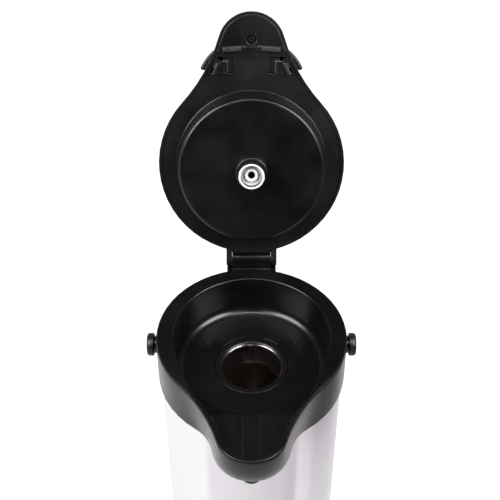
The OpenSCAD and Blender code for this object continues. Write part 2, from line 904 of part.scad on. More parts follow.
function crown(v) = 1 - sqrt(max(0, 1 - v * v));
function lid_section(z, v, inset) =
    teardrop(
        inset + lid_draft * z + lid_round * crown(v),
        beak_reach - (nose_round - lid_round) * crown(v),
        beak_tip_r + 2 * crown(v)
    );

// Outside of the lid: levels are shares of the height above the drafted side
module lid_form() {
    heights = [for (v = outer_levels) lid_side_h + (lid_h - lid_side_h) * v];
    loft(
        concat(
            [for (i = [0 : len(heights) - 1]) lid_section(heights[i], outer_levels[i], 0)],
            [lid_section(lid_gap, 0, 0)]
        ),
        concat(heights, [lid_gap]),
        teardrop_cap
    );
}

// Inside of the lid, with the wider seat for the underside plate below the ledge
module lid_cavity() {
    inset = lid_wall + ledge_w;
    side = lid_side_h - inset;
    heights = [for (v = inner_levels) side + (lid_h - lid_wall - side) * v];
    loft(
        concat(
            [for (i = [0 : len(heights) - 1]) lid_section(heights[i], inner_levels[i], inset)],
            [lid_section(ledge_z, 0, inset), teardrop(lid_wall), teardrop(lid_wall)]
        ),
        concat(heights, [ledge_z, ledge_z, lid_gap - 1]),
        teardrop_cap
    );
}

// Cheeks of the hinge, with heels that land on the knuckle's base when the lid is open
module hinge_cheeks() {
    mid_x = (hinge_w - cheek_w) / 2;
    heel = stop_z + seat_gap - hinge_z;
    for (s = [-1, 1])
        translate([s * mid_x, 0, 0])
            across(cheek_w) {
                hull() {
                    translate([hinge_y, hinge_z]) circle(d = hinge_eye_d);
                    translate([collar_r - 4.2, 2]) square([1, 7]);
                }
                translate([hinge_y, hinge_z])
                    rotate(lid_open)
                        polygon([[-1, heel], [4.6, heel], [5.6, heel + 1], [5.9, 0], [0, 2]]);
            }
}

// Web between the cheeks that closes the gap in front of the hinge's barrel
module hinge_web() {
    near = collar_r - lid_wall + 0.3;
    far = hinge_y - hinge_eye_d / 2 + 0.3 - seat_gap;
    across(hinge_w - 2 * cheek_w + 2)
        polygon([[near, 0.8], [far - 0.6, 0.8], [far - 0.15, hinge_z - 1.8], [far - 0.1, hinge_z],
            [far - 0.4, hinge_z + 3.6], [far - 1.9, hinge_z + 5.6], [near, hinge_z + 5.6]]);
}

plate_z = lid_gap + plate_recess;
ledge_z = plate_z + plate_t;
ledge_w = 1;
nose_screw_y = 107.5;
window_y = 88.7;
window_l = 16.8;
window_z = 6.2;
window_h = 8;
// The button's rim stays in its sleeve over the whole stroke
sleeve_low = lid_h + button_proud - button_travel - 0.5;

module lid_cover() {
    sleeve_r = button_d / 2 + slide_gap;
    sleeve_t = 2.2;
    color(black_plastic)
        lid_pose()
            difference() {
                union() {
                    difference() {
                        lid_form();
                        lid_cavity();
                    }
                    translate([0, 0, sleeve_low])
                        cylinder(r = sleeve_r + sleeve_t, h = lid_h - sleeve_low - 1);
                    translate([0, -nose_screw_y, ledge_z])
                        cylinder(r = 4, h = lid_h - 4.5 - ledge_z);
                    hinge_cheeks();
                    hinge_web();
                }
                translate([0, 0, sleeve_low - 1]) cylinder(r = sleeve_r, h = lid_h);
                translate([0, -nose_screw_y, ledge_z - 1])
                    cylinder(r = screw_r + press_gap, h = 12);
                translate([0, hinge_y, hinge_z])
                    rotate([0, 90, 0])
                        cylinder(d = hinge_pin_d + 2 * shaft_gap, h = hinge_w + 2, center = true);
                for (s = [-1, 1])
                    translate([s * 38, -window_y, window_z + window_h / 2])
                        cube([24, window_l, window_h], center = true);
            }
}

slot_inner_x = 14.9;
panel_inner_x = slot_inner_x + latch_travel + 2.1;
slot_far_y = 93;
slot_near_y = 79.2;
nose_split_y = 97;
blade_gap = nub_proud + 0.4;
blade_t = 2.4;

// Opening for one latch in the underside plate
module latch_slot(s) {
    strip = wall_strip(s, slot_near_y, slot_far_y, blade_gap - 1.5, blade_gap);
    outer = [for (q = strip) if (abs(q[0]) > side_x(-q[1], beak_wall) - blade_gap + 0.1) q];
    polygon(concat(
        [[s * slot_inner_x, -slot_near_y]],
        s < 0 ? outer : [for (i = [len(outer) - 1 : -1 : 0]) outer[i]],
        [[s * slot_inner_x, -slot_far_y]]
    ));
}

module lid_base() {
    post_x = 9;
    post_y = 90;
    post_h = 9;
    color(black_plastic)
        lid_pose()
            difference() {
                union() {
                    translate([0, 0, plate_z])
                        linear_extrude(plate_t)
                            intersection() {
                                polygon(teardrop(lid_wall + 0.1));
                                translate([-collar_r, -nose_split_y])
                                    square([2 * collar_r, 2 * collar_r + 20]);
                            }
                    for (s = [-1, 1])
                        translate([s * post_x - 1, -post_y, ledge_z - eps])
                            cube([2, 8, post_h]);
                }
                translate([0, 0, plate_z - 1])
                    cylinder(r = plug_d / 2 + 0.15, h = plate_t + 2);
                translate([0, 0, plate_z - 1])
                    linear_extrude(plate_t + 2) {
                        latch_slot(-1);
                        latch_slot(1);
                    }
                for (a = [45 : 90 : 315])
                    rotate([0, 0, a])
                        translate([plug_d / 2 + 4, 0, plate_z + 0.5])
                            cylinder(r = screw_r + press_gap, h = plate_t);
            }
}

module nose_plate() {
    ridge_y = 98;
    ridge_l = 3.5;
    color(black_plastic)
        lid_pose()
            difference() {
                union() {
                    translate([0, 0, plate_z - 0.7])
                        linear_extrude(plate_t + 0.7)
                            intersection() {
                                polygon(teardrop(lid_wall + 0.1));
                                translate([-collar_r, -beak_reach])
                                    square([2 * collar_r, beak_reach - nose_split_y - 0.2]);
                            }
                    for (s = [-1, 1])
                        translate([s * 13.3, -ridge_y - ridge_l / 2, plate_z - 2])
                            rotate([0, 0, s * 4.5]) {
                                translate([-8, -ridge_l / 2, 0]) cube([16, ridge_l, 2]);
                                translate([s * 9.5 - 1.2, -ridge_l / 2, 0])
                                    cube([2.4, ridge_l, 2]);
                            }
                    translate([-5, -ridge_y - ridge_l, plate_z - 0.9])
                        cube([10, ridge_l + 5.5, 0.8]);
                }
                translate([0, -nose_screw_y, plate_z - 3])
                    cylinder(r = screw_head_r + 0.8, h = 4.4);
                translate([0, -nose_screw_y, plate_z - 3])
                    cylinder(r = screw_r + 0.2, h = 10);
            }
}

module nose_screw() {
    color([0.2, 0.2, 0.21])
        lid_pose()
            translate([0, -nose_screw_y, plate_z + 1.4])
                rotate([180, 0, 0])
                    pan_screw(screw_head_r, 2, 10, screw_r);
}

// Release latches, drawn for the side s = -1 (left) or 1 (right)

puck_far_y = 96.6;
puck_near_y = 83.2;

// Outline of a release button in plan, with its outer edges drawn in by e
function puck_outline(s, e) =
    let(
        n = 6,
        face = [for (i = [0 : n]) let(t = i / n, y = puck_far_y + (puck_near_y - puck_far_y) * t)
            [side_x(y) + 0.8 + (latch_proud - 0.8) * t + 1.1 * sin(180 * t) - e, -y]],
        last = face[n],
        corner = [[last[0] + 0.1, last[1] + 0.9], [last[0] - 0.4, last[1] + 1.9 - e],
            [last[0] - 1.5, last[1] + 2.4 - e]],
        ring = concat([[27, -puck_far_y + e]], face, corner, [[27, last[1] + 2.4 - e]])
    )
    s > 0
        ? [for (q = ring) [q[0], q[1]]]
        : [for (i = [len(ring) - 1 : -1 : 0]) [-ring[i][0], ring[i][1]]];

module latch(s) {
    half = window_h / 2 - slide_gap;
    mid_z = window_z + window_h / 2;
    body_z = ledge_z + slide_gap;
    panel_z = plate_z + 0.2;
    panel_far_y = 89.3;
    panel_near_y = slot_near_y + 0.5;
    strip = wall_strip(s, panel_near_y, panel_far_y, blade_gap, blade_gap + 1);
    outer = [for (q = strip) if (abs(q[0]) > side_x(-q[1], beak_wall) - blade_gap - 0.5) q];
    color(black_plastic)
        lid_pose() {
            loft(
                [puck_outline(s, 0.9), puck_outline(s, 0), puck_outline(s, 0), puck_outline(s, 0.9)],
                [mid_z + half, mid_z + half - 1.6, mid_z - half + 1.6, mid_z - half],
                strip_cap(12)
            );
            translate([0, 0, panel_z])
                linear_extrude(body_z - panel_z + 0.5)
                    polygon(concat(
                        [[s * panel_inner_x, -panel_near_y]],
                        s < 0 ? outer : [for (i = [len(outer) - 1 : -1 : 0]) outer[i]],
                        [[s * panel_inner_x, -panel_far_y]]
                    ));
            translate([s * 25 - 4.8, -panel_far_y, body_z])
                cube([9.6, panel_far_y - panel_near_y - 1, mid_z - body_z + 1]);
            translate([s * (panel_inner_x - 1.5) - 5.2, -slot_far_y + 0.4, body_z])
                cube([10.4, slot_far_y - slot_near_y - 1, 0.8]);
            loft(
                [for (k = [0, 1])
                    wall_strip(s, panel_near_y, panel_far_y, blade_gap, blade_gap + blade_t)],
                [body_z, -8.4],
                strip_cap(10)
            );
            loft(
                [for (proud = [1.8, 1.8, -0.3])
                    wall_strip(s, hook_y - 2.6, hook_y + 1.3, blade_gap - proud, blade_gap + 0.5)],
                [-4.9, -5.6, -8.3],
                strip_cap(10)
            );
        }
}

module latch_left() { latch(-1); }
module latch_right() { latch(1); }

module latch_spring(s) {
    color(steel)
        lid_pose()
            translate([s * 10.6, -86.3, ledge_z + 5.6])
                rotate([0, s * 90, 0])
                    helix(2.6, 0.4, 8.7, 5, 8, 5);
}

module latch_spring_left() { latch_spring(-1); }
module latch_spring_right() { latch_spring(1); }

// Pump, drawn shut

plug_wall = 2.2;
plug_floor_z = -plug_depth + plug_wall + 0.2;

module pump_plug() {
    root_r = plug_d / 2;
    low_r = root_r - 2.2;
    fillet = 3;
    flange_r = root_r + 7.6;
    hole_r = spigot_d / 2 + 4;
    color(black_plastic)
        lid_pose()
            difference() {
                rotate_extrude()
                    polygon(concat(
                        [[hole_r, -plug_depth]],
                        arc([low_r - fillet, -plug_depth + fillet], fillet, -90, 0, 6),
                        [[low_r, -plug_depth + fillet], [root_r, plate_z], [root_r, ledge_z],
                            [flange_r, ledge_z], [flange_r, ledge_z + 2],
                            [root_r - plug_wall, ledge_z + 2],
                            [low_r - plug_wall, plug_floor_z + 3],
                            [low_r - plug_wall - 3, plug_floor_z], [hole_r, plug_floor_z]]));
                for (a = [45 : 90 : 315])
                    rotate([0, 0, a])
                        translate([plug_d / 2 + 4, 0, ledge_z - 1])
                            cylinder(r = screw_r + 0.2, h = 4);
            }
}

module plug_screws() {
    color(steel)
        lid_pose()
            for (a = [45 : 90 : 315])
                rotate([0, 0, a])
                    translate([plug_d / 2 + 4, 0, ledge_z + 2])
                        pan_screw(2.8, 2, 3.8, screw_r);
}

holder_low = plug_depth + holder_proud;

module spigot_holder() {
    bore_r = spigot_d / 2 + 0.1;
    root_r = spigot_d / 2 + 3.8;
    groove_z = -holder_low + 5;
    color(black_plastic)
        lid_pose()
            rotate_extrude()
                polygon([[bore_r, -holder_low], [bore_r + 1.9, -holder_low],
                    [bore_r + 2.5, -holder_low + 0.6], [root_r, -plug_depth],
                    [root_r, plug_floor_z], [root_r + 2.4, plug_floor_z],
                    [root_r + 2.4, plug_floor_z + 2], [bore_r, plug_floor_z + 2],
                    [bore_r, groove_z + 1.8], [bore_r + 1.5, groove_z + 1.8],
                    [bore_r + 1.5, groove_z], [bore_r, groove_z]]);
}

module spigot_seal() {
    groove_z = -holder_low + 5;
    color(silicone)
        lid_pose()
            translate([0, 0, groove_z + 0.9])
                rotate_extrude()
                    translate([spigot_d / 2 + 0.82, 0])
                        circle(r = 0.7, $fn = 24);
}

module air_spigot() {
    outer_r = spigot_d / 2;
    inner_r = outer_r - 1.7;
    nipple_r = 5.9;
    web_z = -spigot_drop + 7;
    nipple_z = -spigot_drop + 4.6;
    seat_z = plug_floor_z + 2;
    hole_r = air_hole_d / 2;
    color([0.9, 0.9, 0.9])
        lid_pose()
            rotate_extrude()
                polygon([[inner_r, -spigot_drop + 0.5], [inner_r + 0.5, -spigot_drop],
                    [outer_r - 0.5, -spigot_drop], [outer_r, -spigot_drop + 0.5],
                    [outer_r, seat_z], [outer_r + 2.2, seat_z], [outer_r + 2.2, seat_z + 1.5],
                    [hole_r, seat_z + 1.5], [hole_r, nipple_z + 0.8],
                    [hole_r + 0.8, nipple_z], [nipple_r - 0.8, nipple_z],
                    [nipple_r, nipple_z + 0.8], [nipple_r, web_z], [inner_r, web_z]]);
}

module check_valve() {
    seat_z = plug_floor_z + 3.5;
    color(silicone)
        lid_pose()
            rotate_extrude()
                polygon([[0, seat_z - 3], [1.4, seat_z - 3], [1, seat_z], [7, seat_z],
                    [7.4, seat_z + 0.5], [3, seat_z + 1.3], [1.5, seat_z + 2.4], [0, seat_z + 2.4]]);
}

bellows_low = plug_floor_z;
bellows_high = ledge_z + 9.2;

// Zigzag of the bellows' wall, moved inwards by t
function folds(t) =
    let(
        crest_r = bellows_d / 2 - t,
        root_r = crest_r - 6,
        low = bellows_low + 1.4,
        pitch = (bellows_high - 1.4 - low) / fold_count
    )
    [for (i = [0 : 2 * fold_count]) [i % 2 == 0 ? root_r : crest_r, low + pitch * i / 2]];

module bellows() {
    skin = 1.6;
    outer = folds(0);
    inner = folds(skin);
    n = len(outer);
    hole_r = spigot_d / 2 + 8;
    color(rubber)
        lid_pose()
            rotate_extrude()
                polygon(concat(
                    [[hole_r, bellows_low], [bellows_d / 2 + 3, bellows_low],
                        [bellows_d / 2 + 3, bellows_low + 1.4]],
                    outer,
                    [[outer[n - 1][0], bellows_high], [0, bellows_high], [0, bellows_high - 1.4]],
                    [for (i = [n - 1 : -1 : 0]) inner[i]],
                    [[hole_r, bellows_low + 1.4]]));
}

module return_spring() {
    wire_r = 0.8;
    low = bellows_low + 1.4 + wire_r;
    high = bellows_high - 1.4 - wire_r;
    coil_r = spigot_d / 2 + 9.6;
    color(steel)
        lid_pose()
            translate([0, 0, low])
                helix(coil_r, wire_r, high - low, 4, 8, 6);
}

module pump_button() {
    outer_r = button_d / 2;
    wall = 2.2;
    top = lid_h + button_proud;
    stop_z = sleeve_low - seat_gap;
    dish = 1.6;
    color(black_plastic)
        lid_pose()
            rotate_extrude()
                polygon([[0, bellows_high + seat_gap], [6, bellows_high + seat_gap],
                    [6, top - dish - 3], [outer_r - wall, top - 3.4],
                    [outer_r - wall, stop_z - 2], [outer_r + 2, stop_z - 2],
                    [outer_r + 2, stop_z], [outer_r, stop_z], [outer_r, top - 2],
                    [outer_r - 0.6, top - 0.6], [outer_r - 2, top], [outer_r - 5, top],
                    [outer_r - 9, top - dish * 0.7], [outer_r * 0.5, top - dish * 0.95],
                    [0, top - dish]]);
}

base_pad();
base_cup();
outer_casing();
inner_liner();
liner_support();
insulation_sleeve();
shoulder_ring();
neck_gasket();
collar();
collar_screws();
outlet_nozzle();
outlet_pipe();
pickup_tube();
tube_grommet();
hinge_pin();
handle_pivots();
handle_bail();
handle_grip();
lid_cover();
lid_base();
nose_plate();
nose_screw();
latch_left();
latch_right();
latch_spring_left();
latch_spring_right();
pump_plug();
plug_screws();
spigot_holder();
air_spigot();
spigot_seal();
check_valve();
bellows();
return_spring();
pump_button();
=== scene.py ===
"""Looks of the pump airpot with its lid open.

Lengths are in metres, +Z is up and the beak points along -Y.
"""

import math
import bpy
from mathutils import Matrix, Vector


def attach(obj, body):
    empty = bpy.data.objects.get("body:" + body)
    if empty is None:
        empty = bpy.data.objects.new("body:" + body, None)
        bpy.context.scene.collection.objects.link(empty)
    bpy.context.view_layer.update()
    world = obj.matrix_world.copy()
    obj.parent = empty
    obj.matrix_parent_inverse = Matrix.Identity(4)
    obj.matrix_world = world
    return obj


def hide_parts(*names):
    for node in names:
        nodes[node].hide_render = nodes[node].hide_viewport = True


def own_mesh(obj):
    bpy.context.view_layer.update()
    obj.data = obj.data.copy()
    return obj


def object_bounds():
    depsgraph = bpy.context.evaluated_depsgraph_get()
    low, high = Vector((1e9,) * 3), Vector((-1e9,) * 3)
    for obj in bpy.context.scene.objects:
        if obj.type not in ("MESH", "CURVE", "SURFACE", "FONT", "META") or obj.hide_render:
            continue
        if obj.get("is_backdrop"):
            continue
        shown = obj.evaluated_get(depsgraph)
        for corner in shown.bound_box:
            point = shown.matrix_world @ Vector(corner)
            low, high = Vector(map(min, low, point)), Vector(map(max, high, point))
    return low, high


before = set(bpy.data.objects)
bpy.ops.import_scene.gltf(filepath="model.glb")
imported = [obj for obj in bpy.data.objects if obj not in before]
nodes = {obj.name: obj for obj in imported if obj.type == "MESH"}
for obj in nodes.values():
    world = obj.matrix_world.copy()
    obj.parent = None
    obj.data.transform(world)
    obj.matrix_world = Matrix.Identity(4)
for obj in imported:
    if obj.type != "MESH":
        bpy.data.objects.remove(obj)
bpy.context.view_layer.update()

scene = bpy.context.scene
scene.view_settings.view_transform = "Standard"


# Small helpers for node materials


def new_material(name):
    mat = bpy.data.materials.new(name)
    mat.use_nodes = True
    tree = mat.node_tree
    shader = tree.nodes["Principled BSDF"]
    return mat, tree, shader


def link(tree, a, b):
    tree.links.new(a, b)


def object_coordinates(tree):
    return tree.nodes.new("ShaderNodeTexCoord").outputs["Object"]


def noise(tree, vector, scale, detail=3.0, rough=0.55, stretch=None):
    if stretch is not None:
        mapping = tree.nodes.new("ShaderNodeMapping")
        mapping.inputs["Scale"].default_value = stretch
        link(tree, vector, mapping.inputs["Vector"])
        vector = mapping.outputs["Vector"]
    n = tree.nodes.new("ShaderNodeTexNoise")
    n.inputs["Scale"].default_value = scale
    n.inputs["Detail"].default_value = detail
    n.inputs["Roughness"].default_value = rough
    link(tree, vector, n.inputs["Vector"])
    return n.outputs["Fac"]


def remap(tree, value, low, high, from_low=0.3, from_high=0.7):
    n = tree.nodes.new("ShaderNodeMapRange")
    n.inputs["From Min"].default_value = from_low
    n.inputs["From Max"].default_value = from_high
    n.inputs["To Min"].default_value = low
    n.inputs["To Max"].default_value = high
    link(tree, value, n.inputs["Value"])
    return n.outputs["Result"]


def ramp(tree, value, stops):
    n = tree.nodes.new("ShaderNodeValToRGB")
    e = n.color_ramp.elements
    while len(e) < len(stops):
        e.new(0.5)
    for element, (place, colour) in zip(e, stops):
        element.position = place
        element.color = (*colour, 1.0)
    link(tree, value, n.inputs["Fac"])
    return n.outputs["Color"]


def blend_colour(tree, factor, a, b):
    n = tree.nodes.new("ShaderNodeMix")
    n.data_type = "RGBA"
    link(tree, factor, n.inputs[0])
    for socket, value in ((n.inputs[6], a), (n.inputs[7], b)):
        if isinstance(value, tuple):
            socket.default_value = (*value, 1.0)
        else:
            link(tree, value, socket)
    return n.outputs[2]


def sums(tree, operation, a, b):
    n = tree.nodes.new("ShaderNodeMath")
    n.operation = operation
    for socket, value in ((n.inputs[0], a), (n.inputs[1], b)):
        if isinstance(value, (int, float)):
            socket.default_value = value
        else:
            link(tree, value, socket)
    return n.outputs[0]


def rounded_edges(tree, radius):
    n = tree.nodes.new("ShaderNodeBevel")
    n.samples = 6
    n.inputs["Radius"].default_value = radius
    return n.outputs["Normal"]


def bump(tree, height, strength, distance, normal=None):
    n = tree.nodes.new("ShaderNodeBump")
    n.inputs["Strength"].default_value = strength
    n.inputs["Distance"].default_value = distance
    link(tree, height, n.inputs["Height"])
    if normal is not None:
        link(tree, normal, n.inputs["Normal"])
    return n.outputs["Normal"]


def dot_product(tree, a, b):
    """a is a socket, b a socket or three numbers."""
    n = tree.nodes.new("ShaderNodeVectorMath")
    n.operation = "DOT_PRODUCT"
    link(tree, a, n.inputs[0])
    if isinstance(b, tuple):
        n.inputs[1].default_value = b
    else:
        link(tree, b, n.inputs[1])
    return n.outputs["Value"]


def edge_amount(tree, normal):
    """0 on a flat surface, up to 1 where the rounded normal leaves the true one, as along an edge."""
    geometry = tree.nodes.new("ShaderNodeNewGeometry")
    return remap(tree, dot_product(tree, geometry.outputs["Normal"], normal), 1.0, 0.0, 0.82, 0.995)


def moulded_plastic(name, colour, roughness, grain=0.5, grain_size=0.0005, specular=0.33, edge=0.0005,
                    edge_wear_and_highlight=(0.030, 0.029, 0.032)):
    """Satin moulded plastic: fine spark-eroded grain, cloudy gloss, and edges lightened, partly polish from
    handling and partly painted highlight.
    """
    mat, tree, shader = new_material(name)
    place = object_coordinates(tree)
    cloud = noise(tree, place, 26.0, 4.0)
    fine = noise(tree, place, 1.0 / grain_size, 2.0, 0.6)
    specks = noise(tree, place, 520.0, 2.0, 0.7)
    light = tuple(min(1.0, c * 1.5 + 0.0005) for c in colour)
    body = blend_colour(tree, remap(tree, cloud, 0.0, 1.0, 0.35, 0.7), colour, light)
    dusty = tuple(c + 0.004 for c in light)
    body = blend_colour(tree, remap(tree, specks, 0.0, 0.5, 0.69, 0.8), body, dusty)
    round_normal = rounded_edges(tree, edge)
    edges = edge_amount(tree, round_normal)
    # Edges lightened: partly wear from handling, partly painted highlight
    body = blend_colour(tree, sums(tree, "MULTIPLY", edges, remap(tree, cloud, 0.1, 0.6)), body, edge_wear_and_highlight)
    link(tree, body, shader.inputs["Base Color"])
    gloss = remap(tree, cloud, roughness - 0.05, roughness + 0.07, 0.3, 0.7)
    gloss = sums(tree, "SUBTRACT", gloss, sums(tree, "MULTIPLY", edges, 0.08))
    link(tree, gloss, shader.inputs["Roughness"])
    shader.inputs["Specular IOR Level"].default_value = specular
    link(tree, bump(tree, fine, grain, 0.00002, round_normal), shader.inputs["Normal"])
    return mat


def soft_rubber(name, colour, roughness, grain_size=0.0008):
    mat, tree, shader = new_material(name)
    place = object_coordinates(tree)
    cloud = noise(tree, place, 30.0, 4.0)
    fine = noise(tree, place, 1.0 / grain_size, 3.0, 0.7)
    light = tuple(min(1.0, c * 1.5 + 0.0004) for c in colour)
    body = blend_colour(tree, remap(tree, cloud, 0.0, 1.0), colour, light)
    link(tree, body, shader.inputs["Base Color"])
    link(tree, remap(tree, fine, roughness - 0.08, roughness + 0.08), shader.inputs["Roughness"])
    shader.inputs["Specular IOR Level"].default_value = 0.35
    link(tree, bump(tree, fine, 0.5, 0.00005, rounded_edges(tree, 0.0004)), shader.inputs["Normal"])
    return mat


def angle_round_z(tree, place):
    """Angle about the object's upright axis, from 0 at the beak, through +-1 at the back."""
    split = tree.nodes.new("ShaderNodeSeparateXYZ")
    link(tree, place, split.inputs["Vector"])
    turn = sums(tree, "ARCTAN2", split.outputs["X"], sums(tree, "MULTIPLY", split.outputs["Y"], -1.0))
    return sums(tree, "DIVIDE", turn, math.pi), split.outputs["Z"]


def brushed_casing(name):
    """Thin stainless sheet rolled into a tube, brushed round its girth and cleaned up and down, with broad
    painted reflection bands round it.
    """
    mat, tree, shader = new_material(name)
    place = object_coordinates(tree)
    turn, height = angle_round_z(tree, place)
    joined = tree.nodes.new("ShaderNodeCombineXYZ")
    link(tree, turn, joined.inputs["X"])
    link(tree, height, joined.inputs["Z"])
    flat = joined.outputs["Vector"]
    lines = noise(tree, flat, 1.0, 4.0, 0.6, stretch=(26.0, 1.0, 5200.0))
    streaks = noise(tree, flat, 1.0, 3.0, 0.6, stretch=(9.0, 1.0, 1.2))
    clouds = noise(tree, place, 14.0, 4.0)
    # Broad upright bands of painted reflection, from the back round the left side to the back again
    wander = sums(tree, "ADD", turn, remap(tree, streaks, -0.01, 0.01))
    painted_reflection_bands = ramp(tree, remap(tree, wander, 0.0, 1.0, -1.0, 1.0), [
        (0.00, (0.70, 0.68, 0.71)), (0.12, (0.80, 0.78, 0.81)), (0.19, (0.74, 0.72, 0.75)),
        (0.275, (0.95, 0.94, 0.95)), (0.33, (0.96, 0.94, 0.97)), (0.4125, (0.98, 0.96, 0.99)),
        (0.4275, (0.80, 0.75, 0.81)), (0.4425, (0.80, 0.76, 0.81)), (0.47, (0.79, 0.76, 0.80)),
        (0.51, (0.74, 0.70, 0.74)), (0.55, (0.70, 0.65, 0.70)), (0.5675, (0.60, 0.53, 0.59)),
        (0.58, (0.60, 0.53, 0.58)), (0.5925, (0.96, 0.86, 0.94)), (0.61, (0.92, 0.84, 0.91)),
        (0.6225, (0.74, 0.69, 0.75)), (0.665, (0.74, 0.68, 0.75)), (0.70, (0.90, 0.88, 0.90)),
        (0.80, (0.78, 0.76, 0.79)), (0.90, (0.82, 0.80, 0.83)), (1.00, (0.70, 0.68, 0.71))])
    # The painted reflection bands, mixed with random streaks
    streaked_painted_bands = blend_colour(tree, remap(tree, streaks, 0.0, 0.30), painted_reflection_bands, (0.93, 0.91, 0.93))
    tone = blend_colour(tree, remap(tree, lines, 0.0, 0.25), streaked_painted_bands, (0.80, 0.78, 0.80))
    link(tree, tone, shader.inputs["Base Color"])
    shader.inputs["Metallic"].default_value = 1.0
    rough = remap(tree, lines, 0.26, 0.40)
    rough = sums(tree, "ADD", rough, remap(tree, clouds, -0.02, 0.04))
    link(tree, rough, shader.inputs["Roughness"])
    shader.inputs["Anisotropic"].default_value = 0.55
    tangent = tree.nodes.new("ShaderNodeTangent")
    tangent.direction_type = "RADIAL"
    tangent.axis = "Z"
    link(tree, tangent.outputs["Tangent"], shader.inputs["Tangent"])
    link(tree, bump(tree, lines, 0.25, 0.00001), shader.inputs["Normal"])
    return mat


def metal(name, colour, roughness, grain=(400.0, 400.0, 400.0), edge=0.0003):
    """Satin metal with fine lines along the shortest side of its grain."""
    mat, tree, shader = new_material(name)
    place = object_coordinates(tree)
    lines = noise(tree, place, 1.0, 4.0, 0.6, stretch=grain)
    clouds = noise(tree, place, 40.0, 3.0)
    dark = tuple(c * 0.82 for c in colour)
    tone = blend_colour(tree, remap(tree, lines, 0.0, 0.8), colour, dark)
    link(tree, tone, shader.inputs["Base Color"])
    shader.inputs["Metallic"].default_value = 1.0
    rough = sums(tree, "ADD", remap(tree, lines, roughness - 0.04, roughness + 0.05),
                 remap(tree, clouds, -0.02, 0.03))
    link(tree, rough, shader.inputs["Roughness"])
    link(tree, bump(tree, lines, 0.15, 0.00002, rounded_edges(tree, edge)), shader.inputs["Normal"])
    return mat


def foam(name):
    mat, tree, shader = new_material(name)
    place = object_coordinates(tree)
    cells = tree.nodes.new("ShaderNodeTexVoronoi")
    cells.inputs["Scale"].default_value = 900.0
    link(tree, place, cells.inputs["Vector"])
    tone = ramp(tree, cells.outputs["Distance"], [(0.0, (0.42, 0.36, 0.22)), (0.6, (0.72, 0.66, 0.46))])
    link(tree, tone, shader.inputs["Base Color"])
    shader.inputs["Roughness"].default_value = 0.9
    link(tree, bump(tree, cells.outputs["Distance"], 0.6, 0.0005), shader.inputs["Normal"])
    return mat


black = (0.0032, 0.0029, 0.0034)
collar_black = moulded_plastic("collar_plastic", (0.0011, 0.0009, 0.0012), 0.25, grain=0.15,
                               specular=0.35, edge_wear_and_highlight=(0.014, 0.013, 0.015))
lid_black = moulded_plastic("lid_plastic", black, 0.27, grain=0.2, edge_wear_and_highlight=(0.045, 0.043, 0.046))
plate_black = moulded_plastic("lid_underside_plastic", (0.0019, 0.0016, 0.0022), 0.33, grain=0.25,
                              edge=0.0007)
nose_black = moulded_plastic("nose_plate_plastic", (0.0019, 0.0016, 0.0022), 0.30, grain=0.25,
                             edge=0.0016)
pump_black = moulded_plastic("pump_plastic", (0.0008, 0.0006, 0.0010), 0.29, grain=0.12, edge=0.0012,
                             edge_wear_and_highlight=(0.050, 0.048, 0.052))
# The latches' strongly lightened edges are partly wear, partly painted highlight on the hooks
latch_black = moulded_plastic("latch_plastic", (0.0048, 0.0044, 0.0050), 0.28, grain=0.2, edge=0.0010,
                              edge_wear_and_highlight=(0.120, 0.117, 0.123))
handle_black = moulded_plastic("handle_plastic", black, 0.32, grain=0.3, edge=0.0006)
base_black = moulded_plastic("base_plastic", (0.010, 0.010, 0.0105), 0.48, grain=0.6)
grip_rubber = soft_rubber("grip_rubber", (0.012, 0.012, 0.0125), 0.62)
pad_rubber = soft_rubber("pad_rubber", (0.016, 0.016, 0.017), 0.7, grain_size=0.0012)
gasket_rubber = soft_rubber("gasket_rubber", (0.0005, 0.0004, 0.0005), 0.34, grain_size=0.0004)
clear_silicone = soft_rubber("silicone", (0.62, 0.61, 0.59), 0.45, grain_size=0.0005)
casing_steel = brushed_casing("casing_steel")
vessel_steel = metal("vessel_steel", (0.50, 0.44, 0.43), 0.18, grain=(90.0, 90.0, 2600.0), edge=0.003)
pin_steel = metal("pin_steel", (0.62, 0.61, 0.60), 0.28, grain=(2200.0, 300.0, 300.0))
spring_steel = metal("spring_steel", (0.50, 0.50, 0.50), 0.25)
screw_black = metal("screw_black", (0.035, 0.034, 0.036), 0.34)
sleeve_foam = foam("sleeve_foam")


# The lid's pieces are drawn shut, with the rim at height 0, and turned open about the hinge
hinge_y, hinge_z, rim_height, lid_open = 0.08775, 0.00535, 0.345, 113.5
lid_turn = (Matrix.Translation((0.0, hinge_y, rim_height + hinge_z))
            @ Matrix.Rotation(math.radians(-lid_open), 4, "X")
            @ Matrix.Translation((0.0, -hinge_y, -hinge_z)))
lid_up = tuple(lid_turn.to_3x3() @ Vector((0.0, 0.0, 1.0)))
lid_face = tuple(-c for c in lid_up)


def paint_bar_highlights(mat, first_height, half_gap, colour):
    """Paints a highlight on the nose plate's two bars: what is beyond first_height and off the middle."""
    tree = mat.node_tree
    shader = tree.nodes["Principled BSDF"]
    place = object_coordinates(tree)
    split = tree.nodes.new("ShaderNodeSeparateXYZ")
    link(tree, place, split.inputs["Vector"])
    high = remap(tree, dot_product(tree, place, lid_face), 0.0, 1.0, first_height, first_height + 0.0002)
    off_middle = sums(tree, "ABSOLUTE", split.outputs["X"], 0.0)
    aside = remap(tree, off_middle, 0.0, 1.0, half_gap, half_gap + 0.002)
    highlight_patches = remap(tree, noise(tree, place, 260.0, 3.0), 0.5, 1.0)
    amount = sums(tree, "MULTIPLY", sums(tree, "MULTIPLY", high, aside), highlight_patches)
    before = shader.inputs["Base Color"].links[0].from_socket
    # Mixes the painted highlight into the bars' colour
    link(tree, blend_colour(tree, amount, before, colour), shader.inputs["Base Color"])


